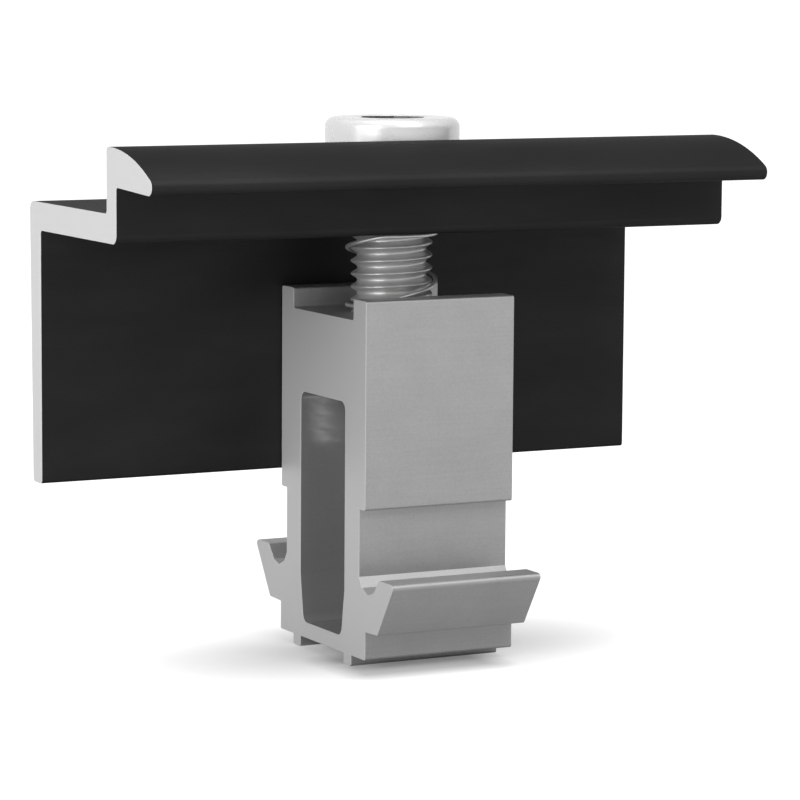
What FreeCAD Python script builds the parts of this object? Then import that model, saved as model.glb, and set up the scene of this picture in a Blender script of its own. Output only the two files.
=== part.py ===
import FreeCAD, Part
import Sketcher

import math
import os

# Solar end clamp: an extruded clamp strip, a click-in block for the rail, the screw that
# draws the strip down on the block, and the thin spring that holds the strip up until then.
# Row frame, in millimetres: X runs along both extrusions, Y points from the module to the
# strip's leg, Z points up the screw. The origin is on the screw's axis, level with the feet.

SIZES = [
    # name, value, what it is
    ("clamp_length", 64.6, "length of the clamp strip along X"),
    ("clamp_shift", 0.4, "screw axis past the middle of the strip, towards +X"),
    ("shelf_thickness", 2.7, "shelf under the screw's head"),
    ("web_thickness", 2.2, "web in front of the head"),
    ("web_height", 6.1, "shelf top to the crown of the lip"),
    ("lip_height", 2.5, "shelf top to the lip's underside, at the web"),
    ("lip_fall", 0.32, "drop of the lip's underside out to its nose"),
    ("lip_reach", 8.05, "web front to the lip's tip"),
    ("crown_flat", 0.45, "flat stretch on top of the web before the crown starts"),
    ("nose_radius", 0.75, "round nose of the lip"),
    ("leg_length", 24.3, "shelf underside to the leg's end"),
    ("leg_root", 2.7, "thickness of the leg at the shelf"),
    ("leg_tip", 2.15, "thickness of the leg at its end"),
    ("leg_gap", 0.15, "leg to the back of the block"),
    ("clamp_round", 0.35, "corner rounds of the strip"),
    ("clamp_bend", 0.85, "round of its two heavy outer corners"),
    ("block_length", 15.9, "length of the block along X"),
    ("block_shift", 0.6, "middle of the block past the screw axis, towards +X"),
    ("block_width", 18.3, "upper body of the block"),
    ("waist_width", 15.9, "waist between the step and the hooks"),
    ("base_width", 18.6, "foot body under the hooks"),
    ("block_top", 35.3, "feet to the top of the block"),
    ("step_height", 15.4, "feet to the step above the waist"),
    ("channel_width", 13.0, "channel in the top that takes the spring"),
    ("channel_depth", 2.0, "depth of that channel"),
    ("bridge_height", 8.0, "threaded bridge between the channel and the slot"),
    ("slot_width", 9.66, "slot through the block, for the screw's end"),
    ("slot_foot_width", 8.3, "slot at its floor"),
    ("slot_taper", 4.6, "height over which the slot narrows to its floor"),
    ("floor_thickness", 1.55, "floor under the slot"),
    ("slot_round", 0.9, "corner rounds of the slot"),
    ("foot_height", 1.05, "two runners under the block"),
    ("foot_outer", 12.7, "across the outer sides of the runners"),
    ("foot_width", 1.6, "width of one runner"),
    ("hook_span", 30.5, "across the tips of the two hooks"),
    ("hook_top", 9.2, "feet to the top of the hooks"),
    ("hook_foot", 2.5, "foot body to the lower end of a hook's outer face"),
    ("hook_under", 3.9, "feet to the underside of the hooks"),
    ("hook_root_drop", 0.1, "underside of a hook, lower at the body"),
    ("hook_round", 0.4, "round of a hook's tip"),
    ("notch_depth", 1.75, "hook top to the bottom of the notch behind it"),
    ("notch_mouth", 4.15, "waist to the flat top of a hook"),
    ("notch_offset", 1.8, "waist to the bottom of the notch"),
    ("notch_ramp", 0.6, "foot of the ramp between waist and notch, out from the waist"),
    ("notch_ramp_height", 0.95, "height of that ramp"),
    ("notch_floor_rise", 0.35, "rise of the notch's floor under the hook"),
    ("notch_floor_run", 1.2, "run of the notch's floor under the hook"),
    ("block_round", 0.25, "corner rounds of the block"),
    ("thread_diameter", 7.9, "outside of the screw's thread"),
    ("thread_gap", 0.05, "thread to its hole in the bridge, all round"),
    ("shelf_hole_gap", 0.25, "thread to its hole in the shelf, all round"),
    ("screw_length", 25.0, "under the head"),
    ("tip_chamfer", 0.8, "chamfer of the screw's end"),
    ("head_diameter", 13.0, "socket head"),
    ("head_height", 8.0, "socket head"),
    ("head_round", 0.9, "round rim of the head"),
    ("head_gap", 0.4, "head to the web, all along"),
    ("hex_across_flats", 6.0, "socket in the head"),
    ("hex_depth", 4.2, "depth of the socket"),
    ("wire", 0.42, "spring wire"),
    ("spring_gap", 0.12, "inside of the spring to the thread"),
    ("spring_height", 8.1, "spring between channel floor and shelf, as delivered"),
    ("closed_pitch", 0.5, "rise of one closed end coil"),
    ("active_turns", 1.08, "open coils between the two closed ends"),
    ("spring_start", -161.0, "turn of the spring's lower end about the axis, in degrees"),
]


class Term:
    """A length from the sheet, or a sum of such lengths: its number and its expression."""

    def __init__(self, value, text):
        self.value = float(value)
        self.text = text

    def _join(self, other, sign, value):
        return Term(value, "(%s %s %s)" % (self.text, sign, other.text))

    def __add__(self, other):
        other = as_term(other)
        return self._join(other, "+", self.value + other.value)

    def __sub__(self, other):
        other = as_term(other)
        return self._join(other, "-", self.value - other.value)

    def __mul__(self, number):
        return self._join(as_term(number), "*", self.value * number)

    def __truediv__(self, number):
        return self._join(as_term(number), "/", self.value / number)

    def __neg__(self):
        return Term(-self.value, "-%s" % self.text)


def as_term(item):
    return item if isinstance(item, Term) else Term(item, "%g" % item)


class Sheet:
    """The driving dimensions: each is a Term under its own name."""

    def __init__(self, doc):
        sheet = doc.addObject("Spreadsheet::Sheet", "Sizes")
        for row, (name, value, note) in enumerate(SIZES, start=1):
            sheet.set("A%d" % row, name)
            sheet.set("B%d" % row, "%g" % value)
            sheet.set("C%d" % row, note)
            sheet.setAlias("B%d" % row, name)
            setattr(self, name, Term(value, "Sizes.%s" % name))
        doc.recompute()


# Sketches


def bind(owner, path, term):
    owner.setExpression(path, as_term(term).text)


def new_body(doc, label):
    body = doc.addObject("PartDesign::Body", label)
    body.Label = label
    return body


def new_sketch(body, name, role, offset=None, turn=None):
    """Sketch on one of the body's own origin planes, moved along its normal or turned."""
    sketch = body.newObject("Sketcher::SketchObject", name)
    plane = [p for p in body.Origin.OriginFeatures if p.Role == role][0]
    sketch.AttachmentSupport = [(plane, "")]
    sketch.MapMode = "FlatFace"
    if offset is not None:
        bind(sketch, "AttachmentOffset.Base.z", offset)
    if turn is not None:
        axis = FreeCAD.Vector(0, 1, 0)
        sketch.AttachmentOffset = FreeCAD.Placement(FreeCAD.Vector(), FreeCAD.Rotation(axis, turn.value))
        bind(sketch, "AttachmentOffset.Rotation.Angle", turn)
    return sketch


def dimension(sketch, kind, refs, term):
    """Add one driving dimension to a sketch and bind it to the sheet."""
    term = as_term(term)
    index = sketch.addConstraint(Sketcher.Constraint(kind, *refs, term.value))
    sketch.renameConstraint(index, "d%d" % index)
    bind(sketch, "Constraints.d%d" % index, term)


def place_point(sketch, geometry, end, across, up):
    """Tie one end of a line to its distance from the sketch's origin; None leaves it out."""
    for kind, term in (("DistanceX", across), ("DistanceY", up)):
        if term is None:
            continue
        if abs(term.value) < 1e-9 and term.text in ("0", "-0"):
            axis = -2 if kind == "DistanceX" else -1
            sketch.addConstraint(Sketcher.Constraint("PointOnObject", geometry, end, axis))
        elif term.value < 0:
            dimension(sketch, kind, (geometry, end, -1, 1), -term)
        else:
            dimension(sketch, kind, (-1, 1, geometry, end), term)


def draw_lines(sketch, corners, closed=True):
    """Straight outline through the corners, each a pair of Terms.

    A line between two corners with the same Term is held horizontal or vertical, so each
    distance is stated once.
    """
    corners = [(as_term(a), as_term(b)) for a, b in corners]
    count = len(corners)
    points = [FreeCAD.Vector(a.value, b.value, 0) for a, b in corners]
    ends = points[1:] + points[:1] if closed else points[1:]
    lines = [sketch.addGeometry(Part.LineSegment(p, q), False) for p, q in zip(points, ends)]
    for one, two in zip(lines, lines[1:]):
        sketch.addConstraint(Sketcher.Constraint("Coincident", one, 2, two, 1))
    if closed:
        sketch.addConstraint(Sketcher.Constraint("Coincident", lines[-1], 2, lines[0], 1))
    held = []
    for axis, kind in ((0, "Vertical"), (1, "Horizontal")):
        texts = [corner[axis].text for corner in corners]
        follows = [i > 0 and texts[i] == texts[i - 1] for i in range(count)]
        for i in range(1, count):
            if follows[i]:
                sketch.addConstraint(Sketcher.Constraint(kind, lines[i - 1]))
        if closed and count > 2 and texts[-1] == texts[0] and not follows[-1]:
            sketch.addConstraint(Sketcher.Constraint(kind, lines[-1]))
            follows[-1] = True
        held.append(follows)
    for i, (across, up) in enumerate(corners):
        line, end = (lines[i], 1) if i < len(lines) else (lines[-1], 2)
        place_point(sketch, line, end,
                    None if held[0][i] else across,
                    None if held[1][i] else up)
    return lines


def draw_circle(sketch, radius, across=None, up=None):
    """Circle about the sketch's origin, or about a point given by two Terms."""
    centre = FreeCAD.Vector(across.value if across else 0, up.value if up else 0, 0)
    circle = sketch.addGeometry(Part.Circle(centre, FreeCAD.Vector(0, 0, 1), radius.value), False)
    if across is None:
        sketch.addConstraint(Sketcher.Constraint("Coincident", circle, 3, -1, 1))
    else:
        place_point(sketch, circle, 3, across, up)
    dimension(sketch, "Radius", (circle,), radius)


def octagon(across, up, flats):
    """Corners of a regular octagon about a point, by its width across flats."""
    near, far = flats / 2, flats * (math.tan(math.pi / 8) / 2)
    turns = [(near, -far), (near, far), (far, near), (-far, near),
             (-near, far), (-near, -far), (-far, -near), (far, -near)]
    return [(across + a, up + b) for a, b in turns]


# Features


def pad(body, sketch, name, length):
    feature = body.newObject("PartDesign::Pad", name)
    feature.Profile = sketch
    bind(feature, "Length", length)
    return feature


def pocket_through(body, sketch, name):
    """Cut the sketch through the whole body, both ways."""
    feature = body.newObject("PartDesign::Pocket", name)
    feature.Profile = sketch
    feature.Type = "ThroughAll"
    feature.Midplane = True
    return feature


def edges_along_x(shape, spots):
    """Names of the straight edges along X that pass through the (y, z) spots."""
    names = []
    for y, z in spots:
        for index, edge in enumerate(shape.Edges, start=1):
            first, last = edge.Vertexes[0].Point, edge.Vertexes[-1].Point
            along = abs(first.x - last.x) > 1e-3
            here = all(abs(p.y - y) < 1e-3 and abs(p.z - z) < 1e-3 for p in (first, last))
            if along and here:
                names.append("Edge%d" % index)
                break
        else:
            raise ValueError("no edge along X at y %.3f, z %.3f" % (y, z))
    return names


def round_corners(doc, body, name, base, spots, radius, both_sides=False):
    """Fillet the long edges of an extrusion at the given corners."""
    doc.recompute()
    spots = [(as_term(a).value, as_term(b).value) for a, b in spots]
    if both_sides:
        spots += [(-y, z) for y, z in spots]
    feature = body.newObject("PartDesign::Fillet", name)
    feature.Base = (base, edges_along_x(base.Shape, spots))
    bind(feature, "Radius", radius)
    return feature


# Clamp strip


def clamp_heights(s):
    """Levels that the strip, the screw and the spring share."""
    channel_floor = s.block_top - s.channel_depth
    shelf_under = channel_floor + s.spring_height
    return channel_floor, shelf_under, shelf_under + s.shelf_thickness


def build_clamp(doc, s):
    """Extruded strip: leg behind the block, shelf under the head, web and lip on the module."""
    _, shelf_under, shelf_top = clamp_heights(s)
    leg_inner = s.block_width / 2 + s.leg_gap
    web_back = -(s.head_diameter / 2 + s.head_gap)
    web_front = web_back - s.web_thickness
    leg_end = shelf_under - s.leg_length
    crown_z = shelf_top + s.web_height
    lip_under = shelf_top + s.lip_height
    crown_y = web_back - s.crown_flat
    nose_y = web_front - s.lip_reach + s.nose_radius
    nose_z = lip_under - s.lip_fall + s.nose_radius

    body = new_body(doc, "clamp_profile")
    sketch = new_sketch(body, "StripSection", "YZ_Plane", -(s.clamp_length / 2 + s.clamp_shift))

    # The nose is a circle about its own centre. The underside runs from the web to touch it,
    # and the crown is the one arc that leaves the web's top level and closes on the nose.
    radius = s.nose_radius.value
    nose = FreeCAD.Vector(nose_y.value, nose_z.value, 0)
    root = FreeCAD.Vector(web_front.value, lip_under.value, 0)
    reach = nose - root
    swing = math.atan2(reach.y, reach.x) + math.asin(radius / reach.Length)
    touch_under = root + FreeCAD.Vector(math.cos(swing), math.sin(swing), 0) \
        * math.sqrt(reach.Length ** 2 - radius ** 2)
    run = nose.x - crown_y.value
    drop = nose.y - crown_z.value
    crown_radius = (run ** 2 + drop ** 2 - radius ** 2) / (-2 * (drop + radius))
    crown_centre = FreeCAD.Vector(crown_y.value, crown_z.value - crown_radius, 0)
    touch_crown = nose + (nose - crown_centre).normalize() * radius

    lines = draw_lines(sketch, [
        (web_front, lip_under), (web_front, shelf_under),
        (leg_inner, shelf_under), (leg_inner, leg_end),
        (leg_inner + s.leg_tip, leg_end), (leg_inner + s.leg_root, shelf_top),
        (web_back, shelf_top), (web_back, crown_z), (crown_y, crown_z),
    ], closed=False)
    under = sketch.addGeometry(Part.LineSegment(touch_under, root), False)
    start = math.atan2(touch_crown.y - crown_centre.y, touch_crown.x - crown_centre.x)
    crown = sketch.addGeometry(
        Part.ArcOfCircle(Part.Circle(crown_centre, FreeCAD.Vector(0, 0, 1), crown_radius),
                         math.pi / 2, start), False)
    end = math.atan2(touch_under.y - nose.y, touch_under.x - nose.x)
    tip = sketch.addGeometry(
        Part.ArcOfCircle(Part.Circle(nose, FreeCAD.Vector(0, 0, 1), radius), start,
                         end + 2 * math.pi), False)
    sketch.addConstraint(Sketcher.Constraint("Coincident", under, 2, lines[0], 1))
    sketch.addConstraint(Sketcher.Constraint("Tangent", lines[-1], 2, crown, 1))
    sketch.addConstraint(Sketcher.Constraint("Tangent", crown, 2, tip, 1))
    sketch.addConstraint(Sketcher.Constraint("Tangent", tip, 2, under, 1))
    dimension(sketch, "Radius", (tip,), s.nose_radius)
    place_point(sketch, tip, 3, nose_y, nose_z)
    strip = pad(body, sketch, "Strip", s.clamp_length)

    hole = new_sketch(body, "ShelfHoleSketch", "XY_Plane")
    draw_circle(hole, s.thread_diameter / 2 + s.shelf_hole_gap)
    drilled = pocket_through(body, hole, "ShelfHole")

    rounds = round_corners(doc, body, "Corners", drilled, [
        (web_front, lip_under), (leg_inner, shelf_under), (leg_inner, leg_end),
        (leg_inner + s.leg_tip, leg_end), (web_back, shelf_top), (web_back, crown_z),
    ], s.clamp_round)
    bends = round_corners(doc, body, "Bends", rounds, [
        (leg_inner + s.leg_root, shelf_top), (web_front, shelf_under),
    ], s.clamp_bend)
    return body, [strip, drilled, rounds, bends]


# Block


def build_block(doc, s):
    """Extruded block: drawn as half a section and mirrored, then slotted and bored."""
    channel_floor, _, _ = clamp_heights(s)
    waist = s.waist_width / 2
    base = s.base_width / 2
    body_half = s.block_width / 2
    foot = s.foot_outer / 2
    tip = s.hook_span / 2
    toe = base + s.hook_foot
    land = waist + s.notch_mouth
    notch_z = s.hook_top - s.notch_depth
    notch_y = waist + s.notch_offset
    ramp_y = waist + s.notch_ramp
    ramp_z = notch_z + s.notch_floor_rise * 1.5

    body = new_body(doc, "click_block")
    middle = as_term(0)
    section = new_sketch(body, "HalfSection", "YZ_Plane", s.block_shift - s.block_length / 2)
    draw_lines(section, [
        (middle, s.foot_height), (foot - s.foot_width, s.foot_height),
        (foot - s.foot_width, middle), (foot, middle), (foot, s.foot_height),
        (base, s.foot_height), (base, s.hook_under - s.hook_root_drop),
        (toe, s.hook_under), (tip, s.hook_top), (land, s.hook_top),
        (notch_y + s.notch_floor_run, notch_z + s.notch_floor_rise), (notch_y, notch_z),
        (ramp_y, ramp_z), (waist, ramp_z + s.notch_ramp_height),
        (waist, s.step_height), (body_half, s.step_height), (body_half, s.block_top),
        (s.channel_width / 2, s.block_top), (s.channel_width / 2, channel_floor),
        (middle, channel_floor),
    ])
    half = pad(body, section, "Half", s.block_length)
    doc.recompute()
    whole = body.newObject("PartDesign::Mirrored", "Whole")
    whole.Originals = [half]
    mirror_plane = [p for p in body.Origin.OriginFeatures if p.Role == "XZ_Plane"][0]
    whole.MirrorPlane = (mirror_plane, [""])
    body.Tip = whole
    doc.recompute()

    slot = new_sketch(body, "SlotSection", "YZ_Plane")
    slot_top = channel_floor - s.bridge_height
    slot_floor = s.foot_height + s.floor_thickness
    wide, narrow = s.slot_width / 2, s.slot_foot_width / 2
    draw_lines(slot, [
        (-narrow, slot_floor), (narrow, slot_floor), (wide, slot_floor + s.slot_taper),
        (wide, slot_top), (-wide, slot_top), (-wide, slot_floor + s.slot_taper),
    ])
    slotted = pocket_through(body, slot, "Slot")

    bore = new_sketch(body, "BoreSketch", "XY_Plane", channel_floor)
    draw_circle(bore, s.thread_diameter / 2 + s.thread_gap)
    bored = body.newObject("PartDesign::Pocket", "ThreadedBore")
    bored.Profile = bore
    bored.Type = "Length"
    bind(bored, "Length", s.bridge_height + s.slot_round)

    slot_rounds = round_corners(doc, body, "SlotCorners", bored, [
        (narrow, slot_floor), (wide, slot_top)], s.slot_round, both_sides=True)
    rounds = round_corners(doc, body, "OuterCorners", slot_rounds, [
        (foot - s.foot_width, middle), (foot, middle), (base, s.foot_height),
        (toe, s.hook_under), (land, s.hook_top),
        (body_half, s.step_height), (body_half, s.block_top),
        (s.channel_width / 2, s.block_top), (s.channel_width / 2, channel_floor),
    ], s.block_round, both_sides=True)
    tips = round_corners(doc, body, "HookTips", rounds, [(tip, s.hook_top)], s.hook_round,
                         both_sides=True)
    return body, [half, whole, slotted, bored, slot_rounds, rounds, tips]


# Screw


def build_screw(doc, s):
    """Socket-head screw, turned from one half section, with a hexagon sunk in its head."""
    _, _, seat = clamp_heights(s)
    top = seat + s.head_height
    tip = seat - s.screw_length
    shank = s.thread_diameter / 2
    head = s.head_diameter / 2
    middle = as_term(0)

    body = new_body(doc, "clamp_screw")
    half = new_sketch(body, "TurnedSection", "XZ_Plane")
    draw_lines(half, [
        (middle, tip), (shank - s.tip_chamfer, tip), (shank, tip + s.tip_chamfer),
        (shank, seat), (head, seat), (head, top), (middle, top),
    ])
    turned = body.newObject("PartDesign::Revolution", "Turned")
    turned.Profile = half
    turned.ReferenceAxis = (half, ["V_Axis"])
    turned.Angle = 360
    doc.recompute()

    rim = [index for index, edge in enumerate(turned.Shape.Edges, start=1)
           if isinstance(edge.Curve, Part.Circle)
           and abs(edge.Curve.Radius - head.value) < 1e-4
           and abs(edge.Curve.Center.z - top.value) < 1e-4]
    rounded = body.newObject("PartDesign::Fillet", "HeadRim")
    rounded.Base = (turned, ["Edge%d" % rim[0]])
    bind(rounded, "Radius", s.head_round)

    hexagon = new_sketch(body, "SocketSketch", "XY_Plane", top)
    flat = s.hex_across_flats / 2
    corner = s.hex_across_flats * (1 / math.sqrt(3))
    draw_lines(hexagon, [
        (corner, middle), (corner / 2, flat), (-(corner / 2), flat),
        (-corner, middle), (-(corner / 2), -flat), (corner / 2, -flat),
    ])
    socket = body.newObject("PartDesign::Pocket", "Socket")
    socket.Profile = hexagon
    socket.Type = "Length"
    bind(socket, "Length", s.hex_depth)
    return body, [turned, rounded, socket]


# Spring


def build_spring(doc, s):
    """Thin compression spring: a closed coil on the channel floor, open coils, a closed coil.

    The round wire is drawn with eight flats, so that its long coils stay light to mesh.
    """
    floor, _, _ = clamp_heights(s)
    radius = s.thread_diameter / 2 + s.spring_gap + s.wire / 2
    open_height = s.spring_height - s.closed_pitch * 2 - s.wire

    body = new_body(doc, "spring")
    bind(body, "Placement.Rotation.Angle", s.spring_start)
    coils = []
    level = floor + s.wire / 2
    turn = None
    for name, turns, height in (("LowerCoil", as_term(1), s.closed_pitch),
                                ("OpenCoils", s.active_turns, open_height),
                                ("UpperCoil", as_term(1), s.closed_pitch)):
        wire = new_sketch(body, name + "Wire", "XZ_Plane", None, turn)
        draw_lines(wire, octagon(radius, level, s.wire))
        coil = body.newObject("PartDesign::AdditiveHelix", name)
        coil.Profile = wire
        coil.ReferenceAxis = (wire, ["V_Axis"])
        coil.Mode = "height-turns-angle"
        coil.Angle = 0
        coil.LeftHanded = False
        bind(coil, "Height", height)
        bind(coil, "Turns", turns)
        coils.append(coil)
        level = level + height
        if name == "OpenCoils":
            turn = s.active_turns * 360
        doc.recompute()
    return body, coils


# Checks and export


def check(doc, bodies):
    """Stop before anything is written if an object failed or a solid isn't sound."""
    for item in doc.Objects:
        if "Invalid" in item.State or "Error" in item.State:
            raise RuntimeError("%s failed: %s" % (item.Label, item.State))
    for body in bodies:
        shape = body.Shape
        if shape.isNull() or not shape.isValid() or len(shape.Solids) != 1:
            raise RuntimeError("%s is not one sound solid" % body.Label)


def main():
    doc = FreeCAD.newDocument("SolarEndClamp")
    sizes = Sheet(doc)
    bodies = []
    for build in (build_clamp, build_block, build_screw, build_spring):
        body, features = build(doc, sizes)
        doc.recompute()
        volumes = ", ".join("%s %.1f" % (f.Name, f.Shape.Volume) for f in features)
        print("%s: %s mm3" % (body.Label, volumes))
        bodies.append(body)
    doc.recompute()
    check(doc, bodies)
    os.makedirs("parts", exist_ok=True)
    for body in bodies:
        body.Shape.exportStep("parts/%s.step" % body.Label)
        box = body.Shape.BoundBox
        print("%s: x %.2f..%.2f, y %.2f..%.2f, z %.2f..%.2f" % (
            body.Label, box.XMin, box.XMax, box.YMin, box.YMax, box.ZMin, box.ZMax))


main()
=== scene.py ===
"""Solar end clamp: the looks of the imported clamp, built round its fixed CAD frame.

Sizes in the classes are in millimetres, in the same frame as the CAD: X runs along both
extrusions, Y from the module to the strip's leg, Z up the screw, and the origin lies on the
screw's axis, level with the feet. Meshes are put into Blender in metres.
"""

import cmath
import logging
import math
from abc import ABC, abstractmethod
from dataclasses import dataclass, field
from enum import Enum
from typing import Mapping, Sequence

import bpy
import numpy as np
from mathutils import Matrix, Vector
from mathutils.geometry import tessellate_polygon


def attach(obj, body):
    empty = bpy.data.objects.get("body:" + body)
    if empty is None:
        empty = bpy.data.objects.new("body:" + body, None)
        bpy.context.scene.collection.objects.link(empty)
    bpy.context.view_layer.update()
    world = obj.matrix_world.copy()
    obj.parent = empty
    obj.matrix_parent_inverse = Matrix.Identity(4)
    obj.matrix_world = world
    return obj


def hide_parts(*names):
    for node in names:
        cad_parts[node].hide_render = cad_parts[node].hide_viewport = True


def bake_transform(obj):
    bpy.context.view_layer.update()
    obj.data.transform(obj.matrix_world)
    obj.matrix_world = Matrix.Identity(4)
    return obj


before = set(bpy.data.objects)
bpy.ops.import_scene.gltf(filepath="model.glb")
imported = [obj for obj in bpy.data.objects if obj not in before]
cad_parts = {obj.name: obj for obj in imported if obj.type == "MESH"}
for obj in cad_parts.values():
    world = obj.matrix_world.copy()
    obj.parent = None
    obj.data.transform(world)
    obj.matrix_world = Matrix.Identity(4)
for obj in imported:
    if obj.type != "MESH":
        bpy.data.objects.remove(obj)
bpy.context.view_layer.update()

MM = 0.001
WELD = 1e-4
CELL_SHIFT = 0.37
CHORD_ERROR = 0.002
TINY = 1e-6
LOG = logging.getLogger("end_clamp")
UP = np.array([0.0, 0.0, 1.0])
Array = np.ndarray
Material = bpy.types.Material
Piece = bpy.types.Object
Socket = bpy.types.NodeSocket
Range = tuple[float, float]
Triple = tuple[float, float, float]


class Body(Enum):
    """The CAD bodies that pieces ride on."""

    BLOCK = "block"
    CLAMP = "clamp"
    SCREW = "screw"


class Slot(Enum):
    """The record's material slots."""

    ANODISED = "black_anodised"
    ALUMINIUM = "plain_aluminium"
    STAINLESS = "stainless"
    WIRE = "spring_wire"


def put(name: str, data: bpy.types.ID) -> Piece:
    """Puts a mesh, lamp or camera into the scene.

    Args:
        name: the object's name.
        data: what it shows.

    Returns:
        The new object, at the origin.
    """
    thing = bpy.data.objects.new(name, data)
    bpy.context.scene.collection.objects.link(thing)
    return thing


# Finishes


class Bench:
    """A node tree being filled, with helpers that add its nodes."""

    def __init__(self, owner: Material | bpy.types.World) -> None:
        """Empties the node tree of a material or world.

        Args:
            owner: the material or world.
        """
        owner.use_nodes = True
        self.tree = owner.node_tree
        self.tree.nodes.clear()

    def feed(self, socket: Socket, value: object) -> None:
        """Gives an input its value.

        Args:
            socket: the input.
            value: a socket to link, or a number or a tuple to set.
        """
        if isinstance(value, Socket):
            self.tree.links.new(value, socket)
        else:
            socket.default_value = value

    def add(self, kind: str, inputs: Mapping | None = None, **settings: object) -> bpy.types.Node:
        """Adds a node.

        Args:
            kind: the node's type name.
            inputs: what goes into each input, by name or number.
            settings: the node's own properties.

        Returns:
            The new node.
        """
        node = self.tree.nodes.new(kind)
        for key, value in settings.items():
            setattr(node, key, value)
        for key, value in (inputs or {}).items():
            self.feed(node.inputs[key], value)
        return node

    def spread(self, value: Socket, low: float, high: float, start: float = 0.3,
               end: float = 0.7) -> Socket:
        """Maps start..end of a value to low..high, held at both ends."""
        return self.add("ShaderNodeMapRange", {0: value, 1: start, 2: end, 3: low, 4: high}).outputs[0]

    def math(self, operation: str, first: object, second: object = 0.0) -> Socket:
        """One sum of two values, each a number or a socket."""
        return self.add("ShaderNodeMath", {0: first, 1: second}, operation=operation).outputs[0]

    def vector(self, operation: str, first: object, second: object = (0.0, 0.0, 0.0)) -> Socket:
        """One sum of two vectors, or their distance, or the length of the first."""
        node = self.add("ShaderNodeVectorMath", {0: first, 1: second}, operation=operation)
        return node.outputs["Value" if operation in ("DISTANCE", "LENGTH") else "Vector"]


class MaterialBench(Bench):
    """A material's node tree, with its Principled shader and output in place."""

    def __init__(self, name: str) -> None:
        """Starts the material.

        Args:
            name: the material's name.
        """
        self.material = bpy.data.materials.new(name)
        super().__init__(self.material)
        self.shader = self.add("ShaderNodeBsdfPrincipled")
        self.add("ShaderNodeOutputMaterial", {0: self.shader.outputs[0]})

    def place(self, scale: Sequence[float] = (1.0, 1.0, 1.0)) -> Socket:
        """Object coordinates in millimetres, times a scale for each axis."""
        spot = self.add("ShaderNodeTexCoord").outputs["Object"]
        return self.add("ShaderNodeMapping", {0: spot, 3: tuple(s / MM for s in scale)}).outputs[0]

    def noise(self, vector: Socket, scale: float, detail: float = 2.0, roughness: float = 0.5) -> Socket:
        """Noise from 0 to 1: bumps per unit of the vector, finer layers and their strength."""
        inputs = {"Vector": vector, "Scale": scale, "Detail": detail, "Roughness": roughness}
        return self.add("ShaderNodeTexNoise", inputs).outputs[0]

    def shade(self, factor: Socket, dark: Triple, light: Triple) -> Socket:
        """Mixes two colours, dark where the factor is 0 and light where it is 1."""
        inputs = {0: factor, 6: (*dark, 1.0), 7: (*light, 1.0)}
        return self.add("ShaderNodeMix", inputs, data_type="RGBA").outputs[2]

    def bump(self, height: Socket, depth: float, strength: float = 1.0,
             under: Socket | None = None) -> Socket:
        """A bump whose full height is depth millimetres, over an earlier bump if there is one."""
        inputs = {"Height": height, "Distance": depth * MM, "Strength": strength}
        return self.add("ShaderNodeBump", inputs | ({"Normal": under} if under else {})).outputs[0]

    def finish(self, **inputs: object) -> Material:
        """Sets or links the shader's inputs.

        Args:
            inputs: a number, tuple or socket for each, with underscores for spaces in its name.

        Returns:
            The material.
        """
        for key, value in inputs.items():
            self.feed(self.shader.inputs[key.replace("_", " ")], value)
        return self.material


@dataclass(frozen=True)
class Finish(ABC):
    """A surface finish: its darkest and lightest colour, and its range of roughness."""

    name: str
    dark: Triple
    light: Triple
    roughness: Range

    @abstractmethod
    def make(self) -> Material:
        """Makes the finish's material."""

    def dress(self, bench: MaterialBench, tone: Socket, gloss: Socket, **inputs: object) -> Material:
        """Finishes a material whose colour and roughness are spread over two patterns."""
        return bench.finish(Base_Color=bench.shade(tone, self.dark, self.light),
                            Roughness=bench.spread(gloss, *self.roughness), **inputs)


@dataclass(frozen=True)
class BlackAnodised(Finish):
    """Satin black anodising: faint die lines along the extrusion under a fine even grain."""

    dark: Triple = (0.028, 0.028, 0.029)
    light: Triple = (0.039, 0.039, 0.040)
    roughness: Range = (0.46, 0.56)
    line_depth: float = 0.004
    grain_depth: float = 0.0025
    edge_tint: float = 0.15

    def make(self) -> Material:
        """Makes the material: stretched noise gives the lines, small noise the grain.

        Returns:
            The material.
        """
        bench = MaterialBench(self.name)
        lines = bench.noise(bench.place((0.015, 1.0, 1.0)), scale=7.0, detail=4.0, roughness=0.65)
        grain = bench.noise(bench.place(), scale=9.0, detail=3.0, roughness=0.6)
        patches = bench.noise(bench.place((0.35, 1.0, 1.0)), scale=0.22)
        tone = bench.math("MULTIPLY", bench.spread(patches, 0.2, 0.8), bench.spread(grain, 0.6, 1.4))
        normal = bench.bump(grain, self.grain_depth, under=bench.bump(lines, self.line_depth))
        return self.dress(bench, tone, lines, Normal=normal, Metallic=0.6, IOR=1.38,
                          Specular_Tint=(*(self.edge_tint,) * 3, 1.0))


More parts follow.
